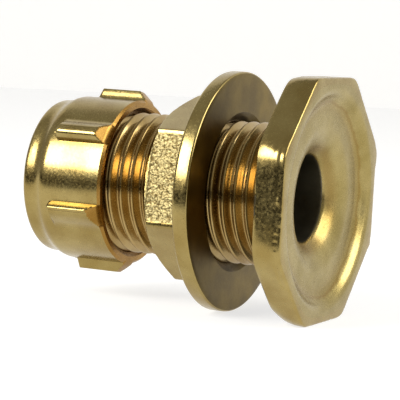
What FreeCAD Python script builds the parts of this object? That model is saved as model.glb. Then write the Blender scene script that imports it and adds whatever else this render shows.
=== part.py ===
import FreeCAD, Part
import math
import os

os.makedirs("parts", exist_ok=True)

V = FreeCAD.Vector

# Tank connector for a 15 mm water tube, all brass, shown hand tight and with
# its backnut run part of the way along the thread. The fitting's axis is X.
# The origin is the middle of the flange seat, the face that bears on the
# inside of the tank wall. The octagonal head is on the +X side of the seat
# and the compression end is on the -X side. Two flats of the head are level.

# The tube and the threaded shank. The crest of the thread stands SHANK_WALL
# outside the tube socket, which for 15 mm tube makes the usual 1/2 parallel
# pipe thread of 20.955 mm over the crests.
TUBE_D = 15.0
TUBE_CLEARANCE = 0.1
SOCKET_L = 9.0
SHANK_WALL = 2.8775
SHANK_L = 32.0
THREAD_PITCH = 1.814
THREAD_CLEARANCE = 0.05
THREAD_END_CHAMFER = 1.0
MOUTH_LIP = 0.2775
CONE_HALF_ANGLE = 30.0
WATERWAY_STEP = 1.3
TUBE_STOP_BEVEL = 0.6

# Octagonal head, with a dished face that runs down into the waterway.
HEAD_AF = 35.3
HEAD_CORNER_PAST_FLAT = 1.2
HEAD_T = 4.2
HEAD_EDGE_BEVEL = 0.35
HEAD_REAR_ANGLE = 30.0
HEAD_RIM_W = 2.05
DISH_WALL_RUN = 1.4
DISH_DEPTH = 1.5
DISH_MOUTH_ROUND = 1.1
DISH_FLOOR_ROUND = 0.9
FUNNEL_ROUND = 2.4

# Flanged backnut: a round flange and a hexagon in one forging. WALL_GAP is
# the thickness of wall that it would hold as it stands.
WALL_GAP = 10.2
FLANGE_D = 35.2
FLANGE_T = 2.4
FLANGE_EDGE_ROUND = 0.35
HEX_WALL = 1.4725
HEX_L = 7.1
HEX_CHAMFER_ANGLE = 30.0
HEX_TURN = 10.0
HEX_ROOT = 0.6
LEAD_IN = 1.22
REAR_LEAD_IN = 0.57

# Compression nut, with six grip lugs forged on it. Radial sizes are steps
# from the thread that it runs on.
NUT_TURNS_ENGAGED = 2.8
NUT_L = 13.4
NUT_WALL = 1.7425
NUT_RIM_STEP = 0.82
NUT_RIM_L = 2.4
NUT_SHOULDER_L = 0.8
NUT_RIM_ROUND = 0.5
NUT_MOUTH_CHAMFER = 0.67
NUT_MOUTH_BEVEL = 0.35
NUT_HOLE_CLEARANCE = 0.25
NUT_END_WALL = 2.5
NUT_CONE_RISE = 1.85
NUT_RELIEF_STEP = 0.17
NUT_THREAD_L = 6.45
LUG_H = 1.58
LUG_START = 5.0
LUG_START_RAMP = 0.45
LUG_EDGE_ROUND = 0.25
NUT_TURN = 10.0
SIDE_LUG_ANGLE = 26.0
SIDE_LUG_LAND = 4.3
SIDE_LUG_INNER = 4.6
SIDE_LUG_OUTER = 10.5
END_LUG_LAND = 4.4
END_LUG_FLANK = 6.0

# Olive: the soft brass ring that the nut squeezes on the tube.
OLIVE_CLEARANCE = 0.05
OLIVE_UNDER_MOUTH = 0.25
OLIVE_END_LIP = 0.4
OLIVE_TO_NUT = 0.5
OLIVE_TO_CONE = 1.4

# Sizes that follow from the ones above.
SOCKET_R = TUBE_D / 2 + TUBE_CLEARANCE
WATERWAY_R = SOCKET_R - WATERWAY_STEP
THREAD_R = SOCKET_R + SHANK_WALL
THREAD_BORE_R = THREAD_R + THREAD_CLEARANCE
MOUTH_R = THREAD_R - THREAD_END_CHAMFER - MOUTH_LIP
TAN_CONE = math.tan(math.radians(CONE_HALF_ANGLE))

HEAD_FLAT_R = HEAD_AF / 2
HEAD_CORNER_R = HEAD_FLAT_R + HEAD_CORNER_PAST_FLAT
DISH_MOUTH_R = HEAD_FLAT_R - HEAD_RIM_W
DISH_FLOOR_R = DISH_MOUTH_R - DISH_WALL_RUN

HEX_FLAT_R = THREAD_BORE_R + HEX_WALL
HEX_CORNER_R = HEX_FLAT_R / math.cos(math.pi / 6)
LEAD_IN_R = THREAD_BORE_R + LEAD_IN
REAR_LEAD_IN_R = THREAD_BORE_R + REAR_LEAD_IN

NUT_R = THREAD_BORE_R + NUT_WALL
NUT_RIM_R = NUT_R - NUT_RIM_STEP
LUG_TOP_R = NUT_R + LUG_H
NUT_RELIEF_R = THREAD_BORE_R + NUT_RELIEF_STEP
NUT_MOUTH_R = THREAD_BORE_R + NUT_MOUTH_CHAMFER
NUT_HOLE_R = TUBE_D / 2 + NUT_HOLE_CLEARANCE
NUT_CONE_R = NUT_HOLE_R + NUT_CONE_RISE
NUT_MOUTH_X = -SHANK_L + NUT_TURNS_ENGAGED * THREAD_PITCH
NUT_OUTER_X = NUT_MOUTH_X - NUT_L
NUT_WALL_X = NUT_OUTER_X + NUT_END_WALL

OLIVE_BORE_R = TUBE_D / 2 + OLIVE_CLEARANCE
OLIVE_R = MOUTH_R - OLIVE_UNDER_MOUTH
OLIVE_END_R = OLIVE_BORE_R + OLIVE_END_LIP
OLIVE_BEVEL_L = (OLIVE_R - OLIVE_END_R) / TAN_CONE
OLIVE_OUTER_X = NUT_WALL_X + OLIVE_TO_NUT
OLIVE_SEATED_X = -SHANK_L + OLIVE_UNDER_MOUTH / TAN_CONE
OLIVE_INNER_X = OLIVE_SEATED_X - OLIVE_TO_CONE + OLIVE_BEVEL_L


def outline(points):
    """Closed wire in the X-R half plane (drawn in XZ). Each point is
    (x, r) or (x, r, radius), where radius rounds that corner."""
    n = len(points)
    pts = [V(p[0], 0, p[1]) for p in points]
    rad = [p[2] if len(p) > 2 else 0.0 for p in points]
    starts = []
    ends = []
    mids = []
    for i in range(n):
        a = pts[i - 1]
        b = pts[i]
        c = pts[(i + 1) % n]
        if rad[i] <= 0:
            starts.append(b)
            ends.append(b)
            mids.append(None)
            continue
        u = (a - b).normalize()
        w = (c - b).normalize()
        half = u.getAngle(w) / 2
        t = rad[i] / math.tan(half)
        bis = (u + w).normalize()
        centre = b + bis * (rad[i] / math.sin(half))
        starts.append(b + u * t)
        ends.append(b + w * t)
        mids.append(centre - bis * rad[i])
    edges = []
    for i in range(n):
        if mids[i] is not None:
            edges.append(Part.Arc(starts[i], mids[i], ends[i]).toShape())
        j = (i + 1) % n
        if ends[i].distanceToPoint(starts[j]) > 1e-7:
            edges.append(Part.LineSegment(ends[i], starts[j]).toShape())
    return Part.Wire(edges)


def turned(points):
    """Solid turned about the X axis from a closed outline."""
    face = Part.Face(outline(points))
    return face.revolve(V(0, 0, 0), V(1, 0, 0), 360)


def polar(x, r, degrees):
    """Point at radius r. The angle is 0 towards -Y, where the fitting is
    seen from, and 90 towards +Z."""
    a = math.radians(degrees)
    return V(x, -r * math.cos(a), r * math.sin(a))


def prism(points, length):
    """Straight prism along +X over a closed polygon at one X."""
    wire = Part.makePolygon(points + [points[0]])
    return Part.Face(wire).extrude(V(length, 0, 0))


def regular_prism(sides, across_flats, x0, length, turn):
    """Prism with one flat facing the angle 'turn'."""
    corner = across_flats / 2 / math.cos(math.pi / sides)
    step = 360.0 / sides
    pts = [polar(x0, corner, turn + step * (k + 0.5)) for k in range(sides)]
    return prism(pts, length)


def save(name, shape):
    solid = shape.removeSplitter()
    if len(solid.Solids) == 1:
        solid = solid.Solids[0]
    print(name, "valid", solid.isValid(), "solids", len(solid.Solids),
          "volume", round(solid.Volume, 1))
    solid.exportStep("parts/" + name + ".step")
    return solid


# The fitting. Its head is an octagonal forging with the corners turned off,
# drawn as a prism and trimmed by a turned envelope that also breaks the edges.
octagon = regular_prism(8, HEAD_AF, 0, HEAD_T, 0)
rear_flat_r = HEAD_FLAT_R - HEAD_EDGE_BEVEL
rear_drop = (HEAD_CORNER_R - rear_flat_r) * math.tan(math.radians(HEAD_REAR_ANGLE))
head_envelope = turned([
    (0, 0),
    (0, rear_flat_r),
    (rear_drop, HEAD_CORNER_R),
    (HEAD_T - HEAD_EDGE_BEVEL, HEAD_CORNER_R),
    (HEAD_T, HEAD_CORNER_R - HEAD_EDGE_BEVEL),
    (HEAD_T, 0),
])
head = octagon.common(head_envelope)

shank = turned([
    (HEAD_T / 4, 0),
    (HEAD_T / 4, THREAD_R),
    (-SHANK_L + THREAD_END_CHAMFER, THREAD_R),
    (-SHANK_L, THREAD_R - THREAD_END_CHAMFER),
    (-SHANK_L, 0),
])

# Everything inside: the dished face, the funnel, the waterway, the tube
# socket with its stop, and the cone that the olive seats on.
cone_l = (MOUTH_R - SOCKET_R) / TAN_CONE
socket_end = -SHANK_L + cone_l + SOCKET_L
dish_top_r = DISH_MOUTH_R + 2 * DISH_MOUTH_ROUND
floor_x = HEAD_T - DISH_DEPTH
inside = turned([
    (HEAD_T + 2, 0),
    (HEAD_T + 2, dish_top_r),
    (HEAD_T, dish_top_r),
    (HEAD_T, DISH_MOUTH_R, DISH_MOUTH_ROUND),
    (floor_x, DISH_FLOOR_R, DISH_FLOOR_ROUND),
    (floor_x, WATERWAY_R, FUNNEL_ROUND),
    (socket_end + TUBE_STOP_BEVEL, WATERWAY_R),
    (socket_end, WATERWAY_R + TUBE_STOP_BEVEL),
    (socket_end, SOCKET_R),
    (-SHANK_L + cone_l, SOCKET_R),
    (-SHANK_L, MOUTH_R),
    (-SHANK_L - 2, MOUTH_R),
    (-SHANK_L - 2, 0),
])
fitting = head.fuse(shank).cut(inside)
save("fitting_body", fitting)

# The backnut: round flange, hexagon and threaded hole in one piece. The
# hexagon's free end is chamfered, and a small cone joins it to the flange.
flange_face = -WALL_GAP
flange_rear = flange_face - FLANGE_T
hex_end = flange_rear - HEX_L
hex_tan = math.tan(math.radians(HEX_CHAMFER_ANGLE))
hex_past = 0.3
hexagon = regular_prism(6, 2 * HEX_FLAT_R, hex_end, HEX_L + FLANGE_T / 2, HEX_TURN)
hexagon = hexagon.common(turned([
    (hex_end, 0),
    (hex_end, HEX_FLAT_R),
    (hex_end + (HEX_CORNER_R - HEX_FLAT_R + hex_past) * hex_tan, HEX_CORNER_R + hex_past),
    (flange_face, HEX_CORNER_R + hex_past),
    (flange_face, 0),
]))
flange = turned([
    (flange_face, 0),
    (flange_face, FLANGE_D / 2, FLANGE_EDGE_ROUND),
    (flange_rear, FLANGE_D / 2, FLANGE_EDGE_ROUND),
    (flange_rear, 0),
])
root = turned([
    (flange_rear + 0.2, 0),
    (flange_rear + 0.2, HEX_CORNER_R + HEX_ROOT),
    (flange_rear, HEX_CORNER_R + HEX_ROOT),
    (flange_rear - HEX_ROOT, HEX_CORNER_R),
    (flange_rear - 2 * HEX_ROOT, HEX_FLAT_R),
    (flange_rear - 2 * HEX_ROOT, 0),
])
tapped = turned([
    (flange_face + 1, 0),
    (flange_face + 1, LEAD_IN_R),
    (flange_face, LEAD_IN_R),
    (flange_face - LEAD_IN, THREAD_BORE_R),
    (hex_end + REAR_LEAD_IN, THREAD_BORE_R),
    (hex_end, REAR_LEAD_IN_R),
    (hex_end - 1, REAR_LEAD_IN_R),
    (hex_end - 1, 0),
])
backnut = flange.fuse(hexagon).fuse(root).cut(tapped)
save("flanged_backnut", backnut)

# The compression nut: a turned barrel with a stepped rim at its outer end.
rim_x = NUT_OUTER_X + NUT_RIM_L
barrel = turned([
    (NUT_OUTER_X, 0),
    (NUT_OUTER_X, NUT_RIM_R, NUT_RIM_ROUND),
    (rim_x, NUT_RIM_R + 0.1),
    (rim_x + NUT_SHOULDER_L, NUT_R, NUT_RIM_ROUND),
    (NUT_MOUTH_X - NUT_MOUTH_BEVEL, NUT_R),
    (NUT_MOUTH_X, NUT_R - NUT_MOUTH_BEVEL),
    (NUT_MOUTH_X, 0),
])
lug_x0 = NUT_OUTER_X + LUG_START


def lug(land_mid, land_width, flank_in, flank_out, side):
    """Trapezoid lug over a span of angles, in degrees. 'side' mirrors it."""
    half = land_width / 2
    a0 = land_mid - side * (half + flank_in)
    a1 = land_mid - side * half
    a2 = land_mid + side * half
    a3 = land_mid + side * (half + flank_out)
    pts = [
        polar(lug_x0, NUT_R - NUT_WALL / 2, a0),
        polar(lug_x0, NUT_R - 0.05, a0),
        polar(lug_x0, LUG_TOP_R, a1),
        polar(lug_x0, LUG_TOP_R, a2),
        polar(lug_x0, NUT_R - 0.05, a3),
        polar(lug_x0, NUT_R - NUT_WALL / 2, a3),
    ]
    length = NUT_MOUTH_X - lug_x0
    solid = prism(pts, length)
    top = []
    for e in solid.Edges:
        mid = e.CenterOfMass
        if abs(e.Length - length) < 1e-6 and math.hypot(mid.y, mid.z) > LUG_TOP_R - 0.01:
            top.append(e)
    return solid.makeFillet(LUG_EDGE_ROUND, top)


# Four side lugs lean away from the forging's split line, and two lie on it.
lugs = []
for face_angle in (0, 180):
    for side in (1, -1):
        mid = NUT_TURN + face_angle + side * SIDE_LUG_ANGLE
        lugs.append(lug(mid, SIDE_LUG_LAND, SIDE_LUG_INNER, SIDE_LUG_OUTER, side))
for face_angle in (90, 270):
    lugs.append(lug(NUT_TURN + face_angle, END_LUG_LAND, END_LUG_FLANK, END_LUG_FLANK, 1))

# The lugs start with a short ramp, and at the mouth they run out under a
# turned 45 degree cone.
lug_envelope = turned([
    (lug_x0, NUT_R - NUT_WALL / 2),
    (lug_x0, NUT_R - 0.1),
    (lug_x0 + LUG_START_RAMP, LUG_TOP_R + 0.05),
    (NUT_MOUTH_X - LUG_H, LUG_TOP_R + 0.05),
    (NUT_MOUTH_X - 0.05, NUT_R),
    (NUT_MOUTH_X - 0.05, NUT_R - NUT_WALL / 2),
])
nut = barrel
for one in lugs:
    nut = nut.fuse(one.common(lug_envelope))

# Its inside: the hole for the tube, the cone that pushes the olive, a relief
# for the end of the shank, the thread and the countersunk mouth.
cone_x = NUT_WALL_X + NUT_CONE_RISE
thread_x = NUT_MOUTH_X - NUT_THREAD_L
nut_inside = turned([
    (NUT_OUTER_X - 1, 0),
    (NUT_OUTER_X - 1, NUT_HOLE_R),
    (NUT_WALL_X, NUT_HOLE_R),
    (cone_x, NUT_CONE_R),
    (cone_x, NUT_RELIEF_R),
    (thread_x, NUT_RELIEF_R),
    (thread_x, THREAD_BORE_R),
    (NUT_MOUTH_X - NUT_MOUTH_CHAMFER, THREAD_BORE_R),
    (NUT_MOUTH_X, NUT_MOUTH_R),
    (NUT_MOUTH_X + 1, NUT_MOUTH_R),
    (NUT_MOUTH_X + 1, 0),
])
nut = nut.cut(nut_inside)
save("compression_nut", nut)

# The olive: a plain ring with both ends bevelled to match the cone.
olive = turned([
    (OLIVE_OUTER_X, OLIVE_BORE_R),
    (OLIVE_OUTER_X, OLIVE_END_R),
    (OLIVE_OUTER_X + OLIVE_BEVEL_L, OLIVE_R),
    (OLIVE_INNER_X - OLIVE_BEVEL_L, OLIVE_R),
    (OLIVE_INNER_X, OLIVE_END_R),
    (OLIVE_INNER_X, OLIVE_BORE_R),
])
save("compression_olive", olive)
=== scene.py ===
import math

import bpy
from mathutils import Matrix, Vector, noise


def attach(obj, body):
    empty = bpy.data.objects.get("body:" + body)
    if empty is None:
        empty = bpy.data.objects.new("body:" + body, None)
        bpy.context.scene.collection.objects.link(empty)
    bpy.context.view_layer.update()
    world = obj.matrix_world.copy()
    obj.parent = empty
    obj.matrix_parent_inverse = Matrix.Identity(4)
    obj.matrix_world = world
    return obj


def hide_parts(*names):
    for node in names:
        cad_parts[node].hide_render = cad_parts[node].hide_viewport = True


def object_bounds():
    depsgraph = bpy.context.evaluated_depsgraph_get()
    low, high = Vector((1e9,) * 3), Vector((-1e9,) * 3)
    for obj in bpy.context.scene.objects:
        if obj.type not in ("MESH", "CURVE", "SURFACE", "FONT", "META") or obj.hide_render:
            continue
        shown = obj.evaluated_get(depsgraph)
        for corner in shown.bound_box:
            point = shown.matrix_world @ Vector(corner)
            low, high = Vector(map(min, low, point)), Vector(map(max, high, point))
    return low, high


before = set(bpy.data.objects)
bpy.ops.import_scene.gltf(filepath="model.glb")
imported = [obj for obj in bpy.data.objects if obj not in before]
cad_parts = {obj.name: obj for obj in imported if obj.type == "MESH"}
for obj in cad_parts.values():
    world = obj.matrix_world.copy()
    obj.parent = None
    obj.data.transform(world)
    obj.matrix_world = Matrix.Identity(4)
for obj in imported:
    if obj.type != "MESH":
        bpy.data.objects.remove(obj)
cad_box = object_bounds()

# Studio. The fitting stands on a pale floor before a curved pale wall, and a
# long lens looks at it from a little in front of the head's side.
MM = 0.001
AIM = Vector((-10.88, -11.82, -0.53)) * MM
CAMERA_DISTANCE = 271.64 * MM
CAMERA_AZIMUTH = 25.433
CAMERA_ELEVATION = 5.275
CAMERA_ROLL = 3.2
LENS = 173.4
SENSOR_WIDTH = 36
NEAREST_SEEN = 0.01


def toward(azimuth, elevation):
    """Unit direction: azimuth 0 is towards -Y and 90 towards +X."""
    a, e = math.radians(azimuth), math.radians(elevation)
    return Vector((math.sin(a) * math.cos(e), -math.cos(a) * math.cos(e), math.sin(e)))


camera_turn = (Matrix.Rotation(math.radians(CAMERA_AZIMUTH), 4, "Z")
               @ Matrix.Rotation(math.radians(90 - CAMERA_ELEVATION), 4, "X")
               @ Matrix.Rotation(math.radians(CAMERA_ROLL), 4, "Z"))
camera_place = AIM + toward(CAMERA_AZIMUTH, CAMERA_ELEVATION) * CAMERA_DISTANCE
bpy.ops.object.camera_add()
camera = bpy.context.object
camera.name = "camera"
camera.matrix_world = Matrix.Translation(camera_place) @ camera_turn
camera.data.lens = LENS
camera.data.sensor_width = SENSOR_WIDTH
camera.data.clip_start = NEAREST_SEEN
bpy.context.scene.camera = camera
bpy.context.scene.view_settings.view_transform = "Standard"

# The wall is a round shell. It is open towards the lens, and on the right it
# comes further forward, where the faces that look to the right reflect it.
FLOOR_Z = cad_box[0].z
FLOOR_RADIUS = 0.9
WALL_RADIUS = 0.8
WALL_HEIGHT = 1.0
WALL_FRONT_RIGHT = -0.2
WALL_FRONT_LEFT = 0.25
ROUND_STEPS = 128
FLOOR = "#A8A7A4"
FLOOR_LIFT = 0.72
WALL = "#E6E5E2"
WALL_LIFT = 0.5
ROOM = "#A9A8A5"


def linear(hex_colour):
    """An sRGB hex colour as the linear values that a shader takes."""
    out = []
    for i in (1, 3, 5):
        c = int(hex_colour[i:i + 2], 16) / 255
        out.append(c / 12.92 if c <= 0.04045 else ((c + 0.055) / 1.055) ** 2.4)
    return (*out, 1.0)


def add_node(tree, kind, inputs=None, **settings):
    """A shader node with its settings. An input is a value, or the output that feeds it."""
    node = tree.nodes.new("ShaderNode" + kind)
    for name, value in settings.items():
        setattr(node, name, value)
    for name, value in (inputs or {}).items():
        if isinstance(value, bpy.types.NodeSocket):
            tree.links.new(value, node.inputs[name])
        else:
            node.inputs[name].default_value = value
    return node


def new_material(name):
    """An empty material and its output node."""
    material = bpy.data.materials.new(name)
    material.use_nodes = True
    material.node_tree.nodes.clear()
    return material, add_node(material.node_tree, "OutputMaterial")


def in_edit(piece, test=None):
    """Goes to edit mode on one piece with only the points that pass the test selected, or all."""
    bpy.ops.object.select_all(action="DESELECT")
    piece.select_set(True)
    bpy.context.view_layer.objects.active = piece
    bpy.ops.object.mode_set(mode="EDIT")
    bpy.ops.mesh.select_mode(type="VERT")
    bpy.ops.mesh.select_all(action="SELECT" if test is None else "DESELECT")
    if test is not None:
        bpy.ops.object.mode_set(mode="OBJECT")
        for v in piece.data.vertices:
            v.select = bool(test(v.co / MM))
        bpy.ops.object.mode_set(mode="EDIT")
    bpy.ops.mesh.select_mode(type="VERT")


def done(piece):
    """Back to object mode."""
    bpy.ops.object.mode_set(mode="OBJECT")
    return piece


def studio_paint(name, colour, lift):
    """Matt paint, lifted towards white where the lens or the metal sees it; it keeps the shadow."""
    material, out = new_material(name)
    tree = material.node_tree
    ray = add_node(tree, "LightPath")
    seen = add_node(tree, "Math", {0: ray.outputs["Is Camera Ray"], 1: ray.outputs["Is Glossy Ray"]},
                    operation="ADD")
    seen = add_node(tree, "Math", {0: seen.outputs[0], 1: ray.outputs["Is Transmission Ray"]},
                    operation="ADD", use_clamp=True)
    strength = add_node(tree, "Math", {0: seen.outputs[0], 1: lift}, operation="MULTIPLY")
    paint = add_node(tree, "BsdfDiffuse", {"Color": linear(colour)})
    glow = add_node(tree, "Emission", {"Color": (1, 1, 1, 1), "Strength": strength.outputs[0]})
    both = add_node(tree, "AddShader", {0: paint.outputs[0], 1: glow.outputs[0]})
    tree.links.new(both.outputs[0], out.inputs["Surface"])
    return material


bpy.ops.object.select_all(action="DESELECT")
bpy.ops.mesh.primitive_circle_add(vertices=ROUND_STEPS, radius=FLOOR_RADIUS, fill_type="NGON",
                                  location=(0, 0, FLOOR_Z))
floor = bpy.context.object
floor.name = "floor"
floor.data.materials.append(studio_paint("floor_paint", FLOOR, FLOOR_LIFT))

bpy.ops.object.select_all(action="DESELECT")
bpy.ops.mesh.primitive_cylinder_add(vertices=ROUND_STEPS, radius=WALL_RADIUS, depth=WALL_HEIGHT,
                                    end_fill_type="NOTHING", location=(0, 0, FLOOR_Z + WALL_HEIGHT / 2))
wall = bpy.context.object
wall.name = "backdrop"
in_edit(wall, lambda p: p.y < (WALL_FRONT_RIGHT if p.x > 0 else WALL_FRONT_LEFT) * WALL_RADIUS / MM)
bpy.ops.mesh.delete(type="VERT")
done(wall)
wall.data.materials.append(studio_paint("wall_paint", WALL, WALL_LIFT))

world = bpy.data.worlds.new("room")
bpy.context.scene.world = world
world.use_nodes = True
world.node_tree.nodes["Background"].inputs["Color"].default_value = linear(ROOM)
world.node_tree.nodes["Background"].inputs["Strength"].default_value = 1.0


def soft_light(name, azimuth, elevation, distance, width, height, tilt, brightness):
    """A soft box that faces the fitting. Brightness is how bright its face looks, where 1 is white."""
    bpy.ops.object.light_add(type="AREA")
    lamp = bpy.context.object
    lamp.name = name
    lamp.data.shape = "RECTANGLE"
    lamp.data.size = width
    lamp.data.size_y = height
    lamp.data.energy = brightness * width * height * math.pi
    way = toward(azimuth, elevation)
    facing = way.to_track_quat("Z", "Y").to_matrix().to_4x4()
    lamp.matrix_world = (Matrix.Translation(way * distance) @ facing
                         @ Matrix.Rotation(math.radians(tilt), 4, "Z"))


soft_light("soft_box_front", azimuth=-31, elevation=28, distance=0.60, width=0.32, height=0.29,
           tilt=0, brightness=13)
soft_light("soft_box_side", azimuth=99, elevation=36, distance=0.60, width=0.50, height=0.28,
           tilt=30, brightness=5.5)

# A dark card stands in front, below the lens, as one does before polished
# metal. It is seen only in the metal, as the dark band along each round.
CARD = "#2C2C2B"
CARD_WIDTH = 0.40
CARD_HEIGHT = 0.027
CARD_X = -0.06
CARD_Y = -0.085
card_paint, card_out = new_material("dark_card")
card_coat = add_node(card_paint.node_tree, "BsdfDiffuse", {"Color": linear(CARD)})
card_paint.node_tree.links.new(card_coat.outputs[0], card_out.inputs["Surface"])
bpy.ops.object.select_all(action="DESELECT")
bpy.ops.mesh.primitive_plane_add(size=1)
card = bpy.context.object
card.name = "dark_card"
in_edit(card)
bpy.ops.transform.resize(value=(CARD_WIDTH, CARD_HEIGHT, 1))
bpy.ops.transform.rotate(value=math.radians(90), orient_axis="X", center_override=(0, 0, 0))
bpy.ops.transform.translate(value=(CARD_X, CARD_Y, FLOOR_Z + CARD_HEIGHT / 2))
done(card)
card.data.materials.append(card_paint)
card.visible_camera = False
card.visible_diffuse = False
card.visible_shadow = False


# The fitting itself: one hot brass forging with an octagonal head, a dished
# face that runs down into the waterway, and a shank with a 1/2 parallel pipe
# thread. The head is polished after forging and the thread is cut.
HEAD_AF = 35.3
HEAD_FLAT_R = HEAD_AF / 2
HEAD_T = 4.2
EDGE_BEVEL = 0.35
REAR_ANGLE = 30
SEAT_INNER_R = 11.0
DISH_MOUTH_R = 15.6
DISH_FLOOR_R = 14.1
DISH_DEPTH = 1.5
DISH_X = HEAD_T - DISH_DEPTH
FUNNEL_R = 9.0
FUNNEL_L = 2.3
WATERWAY_R = 6.3
SOCKET_R = 7.6
SOCKET_L = 9.0
SHANK_L = 32.0
SHANK_CHAMFER = 1.0
MOUTH_R = 9.2
TUBE_STOP = 0.6
CONE_L = (MOUTH_R - SOCKET_R) / math.tan(math.radians(30))
SOCKET_END = -SHANK_L + CONE_L + SOCKET_L
AROUND = 360

THREAD_R = 10.4775
PITCH = 1.814
THREAD_CLEARANCE = 0.05
THREAD_STEPS = 200
SHARP_H = 0.960491 * PITCH
HALF_THREAD_ANGLE = math.radians(27.5)
MERGE = 1e-6


def trace(name, points):
    """A line drawn point by point in the half plane above the axis, as (along, out) in mm."""
    bpy.ops.object.select_all(action="DESELECT")
    bpy.ops.mesh.primitive_plane_add(size=MM)
    piece = bpy.context.object
    piece.name = piece.data.name = name
    bpy.ops.object.mode_set(mode="EDIT")
    bpy.ops.mesh.merge(type="CENTER")
    here = Vector()
    for i, (along, away) in enumerate(points):
        there = Vector((along, 0, away)) * MM
        if i == 0:
            bpy.ops.transform.translate(value=there)
        else:
            bpy.ops.mesh.extrude_region_move(TRANSFORM_OT_translate={"value": there - here})
        here = there
    return done(piece)


def round_corner(piece, along, away, run, segments):
    """Rounds the corner of a traced line that is nearest a place, over a run to each side of it."""
    place = Vector((along, 0, away))
    near = min(piece.data.vertices, key=lambda v: (v.co / MM - place).length).co / MM
    in_edit(piece, lambda p: (p - near).length < 1e-4)
    bpy.ops.mesh.bevel(offset=run * MM, segments=segments, affect="VERTICES")
    done(piece)


def select_edges(piece, test):
    """Goes to edit mode with the edges selected whose middle passes the test. The test also gets
    the number of faces at the edge and its length. Gives how many were found."""
    in_edit(piece, lambda p: False)
    done(piece)
    faces_at = {}
    for face in piece.data.polygons:
        for key in face.edge_keys:
            faces_at[key] = faces_at.get(key, 0) + 1
    found = 0
    for edge in piece.data.edges:
        a, b = (piece.data.vertices[i].co / MM for i in edge.vertices)
        edge.select = bool(test((a + b) / 2, faces_at.get(edge.key, 0), (a - b).length))
        found += edge.select
    bpy.ops.object.mode_set(mode="EDIT")
    bpy.ops.mesh.select_mode(type="EDGE")
    return found


def even_out(piece, longest, test):
    """Divides the long runs of a traced line, so that the turned skin can take fine shape."""
    while select_edges(piece, lambda p, faces, length: length > longest and test(p)):
        bpy.ops.mesh.subdivide(number_cuts=1)
        done(piece)
    done(piece)


def turn_up(piece, steps, first_angle=0.0):
    """Turns the traced line round the axis into a skin, with its first points at an angle."""
    in_edit(piece)
    bpy.ops.mesh.spin(steps=steps, angle=2 * math.pi, center=(0, 0, 0), axis=(1, 0, 0), use_auto_merge=True)
    bpy.ops.mesh.select_all(action="SELECT")
    bpy.ops.mesh.remove_doubles(threshold=MERGE)
    bpy.ops.transform.rotate(value=math.radians(first_angle), orient_axis="X", center_override=(0, 0, 0))
    return done(piece)


def reshape(piece, rule):
    """Moves each point of a turned skin. The rule takes and gives mm along the axis and mm out
    from it; its angle is 0 towards the camera's side and 90 at the top."""
    for v in piece.data.vertices:
        p = v.co / MM
        out_r = math.hypot(p.y, p.z)
        angle = math.degrees(math.atan2(p.z, -p.y)) % 360
        x, r = rule(p.x, out_r, angle, p)
        v.co = Vector((x, p.y * r / out_r, p.z * r / out_r)) * MM


def cut_thread(name, x_low, x_high, clearance):
    """The skin of a right-hand thread between two faces, from one pitch of its form wound on."""
    middle = THREAD_R - SHARP_H / 3 + clearance
    first = -PITCH * math.ceil(-x_low / PITCH + 1)
    turns = math.ceil((x_high - first) / PITCH) + 1
    crest = (first + PITCH / 4, middle + SHARP_H / 2)
    root = (first + 3 * PITCH / 4, middle - SHARP_H / 2)
    piece = trace(name, [(first, middle), crest, root, (first + PITCH, middle)])
    run = SHARP_H / 6 / (2 * (1 - math.sqrt(0.5)) * math.cos(HALF_THREAD_ANGLE))
    round_corner(piece, *crest, run, 4)
    round_corner(piece, *root, run, 4)
    bpy.ops.object.modifier_add(type="SCREW")
    screw = piece.modifiers[-1]
    screw.axis = "X"
    screw.angle = 2 * math.pi
    screw.screw_offset = PITCH * MM
    screw.iterations = turns
    screw.steps = screw.render_steps = THREAD_STEPS
    bpy.ops.object.modifier_apply(modifier=screw.name)
    in_edit(piece)
    bpy.ops.mesh.remove_doubles(threshold=MERGE)
    bpy.ops.mesh.select_all(action="SELECT")
    bpy.ops.mesh.bisect(plane_co=(x_low * MM, 0, 0), plane_no=(1, 0, 0), clear_inner=True, threshold=1e-7)
    bpy.ops.mesh.select_all(action="SELECT")
    bpy.ops.mesh.bisect(plane_co=(x_high * MM, 0, 0), plane_no=(1, 0, 0), clear_outer=True, threshold=1e-7)
    return done(piece)


def join_skins(piece, thread, ends):
    """Joins a thread to its piece and closes the narrow faces between their open ends."""
    bpy.ops.object.select_all(action="DESELECT")
    thread.select_set(True)
    piece.select_set(True)
    bpy.context.view_layer.objects.active = piece
    bpy.ops.object.join()
    for x in ends:
        select_edges(piece, lambda p, faces, length: faces == 1 and abs(p.x - x) < 1e-3)
        bpy.ops.mesh.fill(use_beauty=False)
        done(piece)
    in_edit(piece)
    bpy.ops.mesh.normals_make_consistent(inside=False)
    return done(piece)


def wavy(p, size, depth):
    """The slow unevenness that forging and hand polishing leave."""
    return depth * noise.noise(p / size)


# The head's outline blends eight flats by a power, and a lower power gives
# rounder corners. At its rear the corners are rounder, the upper left flat is
# fuller, and one lower corner is worn.
SHARPNESS = 44
REAR_SHARPNESS_LOSS = 20
HALF_CORNER = 22.5
FULLER_FLAT = 1
FULLER_BY = 0.55
WORN_CORNER = 292.5
WORN_SHARPNESS_LOSS = 15


def head_side(angle, back):
    """How far the head's side is from the axis, from its front edge (back is 0) to its rear edge (1)."""
    sharpness = SHARPNESS - REAR_SHARPNESS_LOSS * back
    if abs(angle - WORN_CORNER) < HALF_CORNER:
        sharpness -= back * WORN_SHARPNESS_LOSS * math.cos(math.radians((angle - WORN_CORNER) * 4))
    total = 0.0
    for k in range(8):
        off = math.radians((angle - 45 * k + 180) % 360 - 180)
        if abs(off) < 1.4:
            flat = HEAD_FLAT_R + (FULLER_BY * back if k == FULLER_FLAT else 0.0)
            total += (math.cos(off) / flat) ** sharpness
    return total ** (-1 / sharpness)


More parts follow.
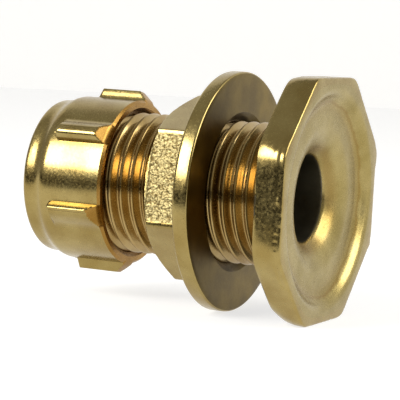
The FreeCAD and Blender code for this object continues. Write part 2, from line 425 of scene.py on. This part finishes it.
# The ring at the rim keeps its width when the round head becomes an octagon.
RIM = 0.7
RIM_INNER_R = DISH_MOUTH_R + 1.0
# Nicks along the front edge: how far back they reach, their depth and size.
NICK_ZONE = 0.45
NICK_DEPTH = 0.10
NICK_SIZE = 0.8
# Two small burrs where the die closed: the angle of each, how wide it is in degrees and how high.
BURR_ZONE = 1.3
BURRS = ((162.5, 5.0, 0.32), (204.5, 2.5, 0.25))
# Trimming left a low step along the flats that face the viewer, with small marks at these heights.
TRIM_BACK = 0.95
TRIM_STEP = 0.05
TRIM_FROM = 320
TRIM_TO = 26
TRIM_MARKS = (0.95, -3.2, -4.2, -5.0, -5.8, -6.7)
TRIM_MARK_HALF = 0.2
TRIM_MARK_HIGH = 0.10


def head_shape(x, r, angle, p):
    """Presses the round head to an octagon, its edges kept as wide as they are."""
    if x < -1e-4 or r < RIM_INNER_R:
        if x > 0.3:
            x += wavy(p, size=3.0, depth=0.035)
        return x, r
    side = head_side(angle, 1 - x / HEAD_T)
    edge = HEAD_FLAT_R - RIM
    if r > edge:
        new_r = side - (HEAD_FLAT_R - r)
        new_r -= abs(wavy(p, size=4.0, depth=0.012))
        if x > HEAD_T - NICK_ZONE:
            new_r -= max(0.0, wavy(p, NICK_SIZE, NICK_DEPTH))
        if x > HEAD_T - BURR_ZONE:
            for place, width, height in BURRS:
                new_r += height * max(0.0, 1 - ((angle - place) / width) ** 2)
        if x > HEAD_T - TRIM_BACK - 0.02 and (angle > TRIM_FROM or angle < TRIM_TO):
            new_r -= TRIM_STEP
            if x < HEAD_T - 0.5 and min(abs(p.z - height) for height in TRIM_MARKS) < TRIM_MARK_HALF:
                new_r += TRIM_MARK_HIGH
    else:
        new_r = RIM_INNER_R + (r - RIM_INNER_R) * (side - RIM - RIM_INNER_R) / (edge - RIM_INNER_R)
    return rim_place(x, r, side, new_r, p), new_r


def rim_place(x, r, side, new_r, p):
    """Where a point of the rim goes along the axis: the rear chamfer is a cone, so it is wider and
    higher at the corners, and the points of the side above it spread to suit."""
    slope = math.tan(math.radians(REAR_ANGLE))
    if x < HEAD_T / 2 and r > HEAD_FLAT_R - EDGE_BEVEL - 1e-3:
        if r <= HEAD_FLAT_R - 1e-3:
            return 0.0
        chamfer_end = max(0.0, (side - HEAD_FLAT_R + EDGE_BEVEL) * slope)
        share = (HEAD_T - EDGE_BEVEL - x) / (HEAD_T - EDGE_BEVEL - EDGE_BEVEL * slope)
        return HEAD_T - EDGE_BEVEL - min(1.0, share) * (HEAD_T - EDGE_BEVEL - chamfer_end)
    if x < 1e-4:
        return max(0.0, (new_r - HEAD_FLAT_R + EDGE_BEVEL) * slope)
    if x > HEAD_T - 0.01:
        return x - abs(wavy(p, size=2.0, depth=0.02))
    return x


fitting = trace("tank_fitting", [
    (0, SEAT_INNER_R), (0, HEAD_FLAT_R - EDGE_BEVEL),
    (EDGE_BEVEL * math.tan(math.radians(REAR_ANGLE)), HEAD_FLAT_R),
    (HEAD_T - TRIM_BACK - 0.06, HEAD_FLAT_R), (HEAD_T - TRIM_BACK + 0.02, HEAD_FLAT_R),
    (HEAD_T - RIM, HEAD_FLAT_R), (HEAD_T, HEAD_FLAT_R), (HEAD_T, DISH_MOUTH_R), (DISH_X, DISH_FLOOR_R),
    (DISH_X, FUNNEL_R), (DISH_X - FUNNEL_L, WATERWAY_R), (SOCKET_END + TUBE_STOP, WATERWAY_R),
    (SOCKET_END, WATERWAY_R + TUBE_STOP), (SOCKET_END, SOCKET_R), (-SHANK_L + CONE_L, SOCKET_R),
    (-SHANK_L, MOUTH_R)])
# Each rounded corner: where it is, how far it runs to each side, and in how many steps.
for along, away, run, segments in (
        (HEAD_T, HEAD_FLAT_R, 0.34, 4), (HEAD_T, DISH_MOUTH_R, 0.6, 5), (DISH_X, DISH_FLOOR_R, 1.1, 8),
        (DISH_X, FUNNEL_R, 1.9, 10), (DISH_X - FUNNEL_L, WATERWAY_R, 0.45, 5)):
    round_corner(fitting, along, away, run, segments)
even_out(fitting, 0.6, lambda p: p.z > DISH_MOUTH_R - 2)
even_out(fitting, 1.5, lambda p: True)
turn_up(fitting, AROUND, first_angle=0.5)
reshape(fitting, head_shape)

shank = cut_thread("shank_thread", -SHANK_L, 0.0, 0.0)
reshape(shank, lambda x, r, angle, p: (x, min(r, THREAD_R - SHANK_CHAMFER + (x + SHANK_L))))
join_skins(fitting, shank, (0.0, -SHANK_L))

# All the brass here has soft patches of two tones a few millimetres across,
# and a grain. The real grain is some hundredths of a millimetre, so it is
# drawn as coarse as it needs to be to show.
PATCH = 4.5
RAGGED = 1.6


def brass(name, light, dark, roughness, grain, grain_depth, film=0.0, stain=None, rings=()):
    """Brass in two tones with a fine grain. Film is how much oil lies on it, which adds a white
    gleam. Tarnish stays in ragged rings round the axis: the radius of each, its half width in mm,
    and how strong it is."""
    material, out = new_material(name)
    tree = material.node_tree
    place = add_node(tree, "TexCoord").outputs["Object"]
    patches = add_node(tree, "TexNoise", {"Vector": place, "Scale": 1 / (PATCH * MM), "Detail": 3.0})
    ramp = add_node(tree, "ValToRGB", {"Fac": patches.outputs["Fac"]})
    ramp.color_ramp.elements[0].position = 0.35
    ramp.color_ramp.elements[0].color = linear(dark)
    ramp.color_ramp.elements[1].position = 0.65
    ramp.color_ramp.elements[1].color = linear(light)
    colour = ramp.outputs["Color"]
    apart = add_node(tree, "SeparateXYZ", {"Vector": place})
    flat = add_node(tree, "CombineXYZ", {"Y": apart.outputs["Y"], "Z": apart.outputs["Z"]})
    out_r = add_node(tree, "VectorMath", {0: flat.outputs[0]}, operation="LENGTH").outputs["Value"]
    ragged = add_node(tree, "Math", {0: patches.outputs["Fac"], 1: RAGGED * MM, 2: out_r},
                      operation="MULTIPLY_ADD")
    for radius, half, strength in rings:
        away = add_node(tree, "Math", {0: ragged.outputs[0], 1: (radius + RAGGED / 2) * MM},
                        operation="SUBTRACT")
        away = add_node(tree, "Math", {0: away.outputs[0]}, operation="ABSOLUTE")
        near = add_node(tree, "MapRange", {"Value": away.outputs[0], "From Min": 0.0, "From Max": half * MM,
                                           "To Min": strength, "To Max": 0.0},
                        interpolation_type="SMOOTHSTEP")
        front = add_node(tree, "MapRange", {"Value": apart.outputs["X"], "From Min": 0.2 * MM,
                                            "From Max": 0.6 * MM})
        amount = add_node(tree, "Math", {0: near.outputs[0], 1: front.outputs[0]}, operation="MULTIPLY")
        colour = add_node(tree, "Mix", {0: amount.outputs[0], 6: colour, 7: linear(stain)},
                          data_type="RGBA").outputs[2]
    fine = add_node(tree, "TexNoise", {"Vector": place, "Scale": 1 / (grain * MM), "Detail": 2.0})
    rough = add_node(tree, "MapRange", {"Value": fine.outputs["Fac"], "From Min": 0.3, "From Max": 0.7,
                                        "To Min": roughness - 0.05, "To Max": roughness + 0.07})
    bump = add_node(tree, "Bump", {"Height": fine.outputs["Fac"], "Strength": 1.0,
                                   "Distance": grain_depth * MM})
    shader = add_node(tree, "BsdfPrincipled", {"Base Color": colour, "Metallic": 1.0,
                                               "Roughness": rough.outputs[0], "Normal": bump.outputs[0],
                                               "Coat Weight": film, "Coat Roughness": 0.2})
    tree.links.new(shader.outputs[0], out.inputs["Surface"])
    return material


# Polished after forging: pale greenish brass, with soft but clear reflections.
polished = brass("polished_forged_brass", "#A5925C", "#95804B", roughness=0.22, grain=0.35,
                 grain_depth=0.0032)
# The dish is polished less, so its gleams are wider and grainy. Brown tarnish stays at the foot of
# its wall, on the floor beside it and at the edge of the bore.
dished = brass("polished_brass_with_tarnish_in_hollows", "#A69561", "#968550", roughness=0.29, grain=0.32,
               grain_depth=0.006, stain="#80622A",
               rings=((14.1, 0.4, 0.45), (13.5, 1.6, 0.22), (7.2, 1.4, 0.5)))
# A cut thread is the brightest and most golden, and a trace of cutting oil gives it a white gleam.
cut = brass("machined_brass_thread", "#AE9560", "#987C45", roughness=0.21, grain=0.2,
            grain_depth=0.0005, film=0.3)
# A turned flange left as it came off the lathe gleams broadly. Its dark brown colour is partly its own and
# partly painted shade: the shaded back of the head that the face reflects.
turned = brass("turned_brass_face_with_painted_shade", "#7C672C", "#625020", roughness=0.36, grain=0.25, grain_depth=0.002)
# A face cut through the forging shows the warm metal inside, a little redder than the skin.
faced = brass("faced_brass_mouth", "#A98242", "#8E6A2E", roughness=0.28, grain=0.25, grain_depth=0.002)
# Bored and seat faces aren't polished: greyish, with hardly a reflection.
dull = brass("dull_bored_brass", "#807A68", "#6C6654", roughness=0.40, grain=0.25, grain_depth=0.003)


SMOOTH_BELOW = 32


def finish(piece, materials, choose, body, node):
    """Gives each face its finish, shades the piece, and puts it in place of the plain solid."""
    for material in materials:
        piece.data.materials.append(material)
    for face in piece.data.polygons:
        face.material_index = materials.index(choose(face.center / MM, face.normal))
    bpy.ops.object.select_all(action="DESELECT")
    piece.select_set(True)
    bpy.context.view_layer.objects.active = piece
    bpy.ops.object.shade_smooth_by_angle(angle=math.radians(SMOOTH_BELOW))
    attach(piece, body)
    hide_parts(node)


def away_from_axis(p):
    """How far a point is from the fitting's axis."""
    return math.hypot(p.y, p.z)


# Where the finishes of the fitting change, in mm.
THREAD_FROM_R = 8.5
DISHED_TO_R = 17.0
DULL_TO_X = 1.2


def fitting_finish(p, n):
    """The thread is cut, the bore and the seat behind the head stay dull, the dished face keeps
    tarnish in its hollows, and the rest is polished."""
    if p.x < -0.01 and away_from_axis(p) > THREAD_FROM_R:
        return cut
    behind_head = p.x < 0.01 or (n.x < -0.6 and p.x < DULL_TO_X)
    if behind_head or away_from_axis(p) < WATERWAY_R + 0.05:
        return dull
    return dished if away_from_axis(p) < DISHED_TO_R and p.x > 0.1 else polished


finish(fitting, [polished, cut, dished, dull], fitting_finish, "fitting", "fitting_body")


# The backnut: a round flange and a hexagon forged together, drilled and
# tapped. It is tumbled and polished, and one flat keeps its forged skin.
WALL_GAP = 10.2
FLANGE_R = 17.6
FLANGE_T = 2.4
FLANGE_FACE = -WALL_GAP
FLANGE_REAR = FLANGE_FACE - FLANGE_T
HEX_FLAT_R = 12.0
HEX_CORNER_R = HEX_FLAT_R / math.cos(math.pi / 6)
HEX_L = 7.1
HEX_END = FLANGE_REAR - HEX_L
HEX_TURN = 10
HEX_ROOT = 0.6
HEX_EDGE_WEAR = 0.6
HEX_CHAMFER_ANGLE = 30
BORE_R = THREAD_R + THREAD_CLEARANCE
LEAD_IN = 1.22
REAR_LEAD_IN = 0.57
# A narrow ring of face lies between the mouth of a tapped hole and the rest of the piece.
MOUTH_RING = 0.1
# The rough flat: its ends, half its width in degrees, how deep it lies, and its relief. The skin's
# colour reaches a little further than its relief.
ROUGH_FROM = HEX_END + 0.6
ROUGH_TO = FLANGE_REAR - 0.9
SKIN_FROM = HEX_END + 0.35
SKIN_TO = FLANGE_REAR - 0.5
ROUGH_HALF = 28
ROUGH_DEPTH = 0.05
ROUGH_RELIEF = 0.05
ROUGH_SIZE = 0.4


def hexagon(angle):
    """How far a flat of the hexagon is from the axis, its edges a little worn."""
    away = abs((angle - HEX_TURN + 30) % 60 - 30)
    from_edge = math.hypot(30 - away, HEX_EDGE_WEAR)
    return HEX_FLAT_R / math.cos(math.radians(30 - from_edge))


def backnut_shape(x, r, angle, p):
    """Cuts the flats, the chamfer at the free end and the cone where the hexagon meets the flange."""
    if r < HEX_FLAT_R - 0.01 or x > FLANGE_REAR - 0.01:
        return x, r
    chamfer = HEX_FLAT_R + (x - HEX_END) / math.tan(math.radians(HEX_CHAMFER_ANGLE))
    past = x - (FLANGE_REAR - 2 * HEX_ROOT)
    if past > HEX_ROOT:
        root = HEX_CORNER_R + (past - HEX_ROOT)
    else:
        root = HEX_FLAT_R + past / HEX_ROOT * (HEX_CORNER_R - HEX_FLAT_R)
    new_r = min(r, max(min(hexagon(angle), chamfer), root))
    off = abs((angle + 180) % 360 - 180 - HEX_TURN)
    if off < ROUGH_HALF and ROUGH_FROM < x < ROUGH_TO:
        new_r -= ROUGH_DEPTH + wavy(p, ROUGH_SIZE, ROUGH_RELIEF)
    return x, new_r


backnut = trace("flanged_nut", [
    (FLANGE_FACE, BORE_R + LEAD_IN + MOUTH_RING), (FLANGE_FACE, FLANGE_R), (FLANGE_REAR, FLANGE_R),
    (FLANGE_REAR, HEX_CORNER_R + HEX_ROOT), (FLANGE_REAR - HEX_ROOT, HEX_CORNER_R),
    (HEX_END, HEX_CORNER_R), (HEX_END, BORE_R + REAR_LEAD_IN + MOUTH_RING)])
round_corner(backnut, FLANGE_FACE, FLANGE_R, run=0.35, segments=4)
round_corner(backnut, FLANGE_REAR, FLANGE_R, run=0.5, segments=4)
even_out(backnut, 0.2, lambda p: p.x < FLANGE_REAR - 0.01 and p.z > BORE_R + 1)
even_out(backnut, 1.0, lambda p: True)
turn_up(backnut, AROUND)
reshape(backnut, backnut_shape)
tapped = cut_thread("backnut_thread", HEX_END, FLANGE_FACE, THREAD_CLEARANCE)
reshape(tapped, lambda x, r, angle, p: (x, max(r, BORE_R + LEAD_IN - (FLANGE_FACE - x),
                                               BORE_R + REAR_LEAD_IN - (x - HEX_END))))
join_skins(backnut, tapped, (FLANGE_FACE, HEX_END))


def as_forged(name):
    """The skin that hot forging leaves: shallow pits about a third of a millimetre across, their
    crests rubbed bright and their bottoms brown."""
    material, out = new_material(name)
    tree = material.node_tree
    place = add_node(tree, "TexCoord").outputs["Object"]
    sway = add_node(tree, "TexNoise", {"Vector": place, "Scale": 1 / (0.9 * MM), "Detail": 1.0})
    moved = add_node(tree, "VectorMath", {0: sway.outputs["Color"], 1: (0.7 * MM,) * 3, 2: place},
                     operation="MULTIPLY_ADD")
    pits = add_node(tree, "TexNoise", {"Vector": moved.outputs[0], "Scale": 1 / (0.34 * MM), "Detail": 1.5,
                                       "Roughness": 0.4})
    ramp = add_node(tree, "ValToRGB", {"Fac": pits.outputs["Fac"]})
    ramp.color_ramp.elements[0].position = 0.38
    ramp.color_ramp.elements[0].color = linear("#584A2B")
    ramp.color_ramp.elements[1].position = 0.56
    ramp.color_ramp.elements[1].color = linear("#8D8058")
    bump = add_node(tree, "Bump", {"Height": pits.outputs["Fac"], "Strength": 1.0, "Distance": 0.07 * MM})
    shader = add_node(tree, "BsdfPrincipled", {"Base Color": ramp.outputs["Color"], "Metallic": 1.0,
                                               "Roughness": 0.42, "Normal": bump.outputs[0]})
    tree.links.new(shader.outputs[0], out.inputs["Surface"])
    return material


# The one rough flat: it glitters in small points and has no clear reflection.
forged_skin = as_forged("as_forged_brass_skin")


def backnut_finish(p, n):
    """The thread is cut, the flange is faced on a lathe, and one flat keeps its forged skin."""
    if away_from_axis(p) < BORE_R + 1.3 and abs(n.x) < 0.95:
        return turned if FLANGE_FACE - p.x < LEAD_IN else cut
    if n.x > 0.95:
        return turned
    off = abs(math.degrees(math.atan2(p.z, -p.y)) - HEX_TURN)
    if SKIN_FROM < p.x < SKIN_TO and off < ROUGH_HALF + 0.5 and abs(n.x) < 0.3:
        return forged_skin
    return polished


finish(backnut, [polished, cut, turned, forged_skin], backnut_finish, "backnut", "flanged_backnut")


# The compression nut: forged with six grip lugs, bored for the tube, tapped,
# and faced at the mouth, where the cutter runs out over the ends of the lugs.
NUT_MOUTH = -SHANK_L + 2.8 * PITCH
NUT_L = 13.4
NUT_OUTER = NUT_MOUTH - NUT_L
NUT_R = 12.27
NUT_EDGE = 0.35
NUT_RIM_R = 11.45
NUT_RIM_L = 2.4
NUT_SHOULDER_L = 1.2
NUT_HOLE_R = 7.75
NUT_WALL = NUT_OUTER + 2.5
NUT_CONE_R = 9.6
NUT_CONE = NUT_WALL + NUT_CONE_R - NUT_HOLE_R
NUT_RELIEF_R = 10.6975
NUT_MOUTH_R = 11.1975
NUT_THREAD = NUT_MOUTH - 6.45
NUT_TURN = 10
LUG_H = 1.58
LUG_START = NUT_OUTER + 5.0
LUG_RAMP = 0.6
# Each lug: the middle of its top from the nut's turn, the top's width, the width of its steep
# flank and of its long one, in degrees, and which side the long one is on.
LUGS = (
    (25.8, 3.2, 4.6, 9.0, 1),
    (91.5, 5.0, 2.2, 6.0, 1),
    (153.4, 3.0, 1.8, 12.5, -1),
    (205.8, 3.2, 4.6, 9.0, 1),
    (268.5, 5.0, 2.2, 6.0, -1),
    (333.4, 3.0, 1.8, 12.5, -1))
# The steep flank of a lug with a narrow top is a quarter round; the other flanks are eased ramps.
NARROW_TOP = 4
SOFTNESS = 0.3


def eased(share, soft):
    """A ramp from 0 to 1 with both its ends rounded."""
    if share < -soft:
        return 0.0
    if share < soft:
        return (share + soft) ** 2 / (4 * soft)
    if share < 1 - soft:
        return share
    if share < 1 + soft:
        return 1 - (1 + soft - share) ** 2 / (4 * soft)
    return 1.0


def nut_shape(x, r, angle, p):
    """Raises the lugs on the barrel, each with a steep flank, a long one and a round toe."""
    if x < NUT_OUTER + 0.6 or r < NUT_RIM_R - 0.1 or x > NUT_MOUTH - 0.01:
        return x, r
    r += wavy(p, size=4.0, depth=0.012)
    if x < LUG_START - LUG_RAMP or r < NUT_R - NUT_EDGE - 0.01:
        return x, r
    rise = 0.0
    toe = max(0.0, (LUG_START + LUG_RAMP - x) / LUG_RAMP)
    for middle, top, steep, long, side in LUGS:
        off = side * ((angle - NUT_TURN - middle + 180) % 360 - 180)
        down = math.hypot(toe, max(0.0, abs(off) - top / 2) / (steep if off < 0 else long))
        if off < 0 and top < NARROW_TOP:
            rise = max(rise, math.sqrt(max(0.0, 1 - down * down)))
        else:
            rise = max(rise, eased(1 - down, SOFTNESS))
    cutter = max(0.0, NUT_MOUTH - 0.05 - x)
    return x, r + min(LUG_H * rise, cutter)


nut = trace("lugged_nut", [
    (NUT_MOUTH, NUT_MOUTH_R + MOUTH_RING), (NUT_MOUTH, NUT_R - NUT_EDGE), (NUT_MOUTH - NUT_EDGE, NUT_R),
    (NUT_MOUTH - LUG_H, NUT_R), (LUG_START + LUG_RAMP, NUT_R), (LUG_START, NUT_R),
    (NUT_OUTER + NUT_RIM_L + NUT_SHOULDER_L, NUT_R), (NUT_OUTER + NUT_RIM_L, NUT_RIM_R + 0.1),
    (NUT_OUTER, NUT_RIM_R), (NUT_OUTER, NUT_HOLE_R), (NUT_WALL, NUT_HOLE_R), (NUT_CONE, NUT_CONE_R),
    (NUT_CONE, NUT_RELIEF_R), (NUT_THREAD, NUT_RELIEF_R)])
round_corner(nut, NUT_OUTER + NUT_RIM_L + NUT_SHOULDER_L, NUT_R, run=0.6, segments=5)
round_corner(nut, NUT_OUTER + NUT_RIM_L, NUT_RIM_R + 0.1, run=0.6, segments=5)
round_corner(nut, NUT_OUTER, NUT_RIM_R, run=0.7, segments=6)
even_out(nut, 0.25, lambda p: p.x > LUG_START - 0.3 and p.z > NUT_R - 0.1)
even_out(nut, 1.0, lambda p: True)
turn_up(nut, 2 * AROUND)
reshape(nut, nut_shape)
nut_thread = cut_thread("nut_thread", NUT_THREAD, NUT_MOUTH, THREAD_CLEARANCE)
reshape(nut_thread, lambda x, r, angle, p: (x, max(r, NUT_MOUTH_R - (NUT_MOUTH - x))))
join_skins(nut, nut_thread, (NUT_MOUTH, NUT_THREAD))


def nut_finish(p, n):
    """The thread is cut, the mouth and the lugs' ends are faced, the rest is polished."""
    if n.x > 0.6 and p.x > NUT_MOUTH - LUG_H - 0.1:
        return faced
    if away_from_axis(p) < NUT_MOUTH_R + 0.05 and p.x > NUT_OUTER + 0.3:
        return cut
    return polished


finish(nut, [polished, cut, faced], nut_finish, "nut", "compression_nut")


# The olive: a ring cut from soft drawn brass tube, bevelled at both ends. It
# is hidden in the nut, and its plain solid has its true shape.
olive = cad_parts["compression_olive"]
# Annealing leaves the brass pale and matt.
annealed = brass("annealed_brass", "#B79C63", "#A98D52", roughness=0.3, grain=0.2, grain_depth=0.003)
olive.data.materials.clear()
olive.data.materials.append(annealed)
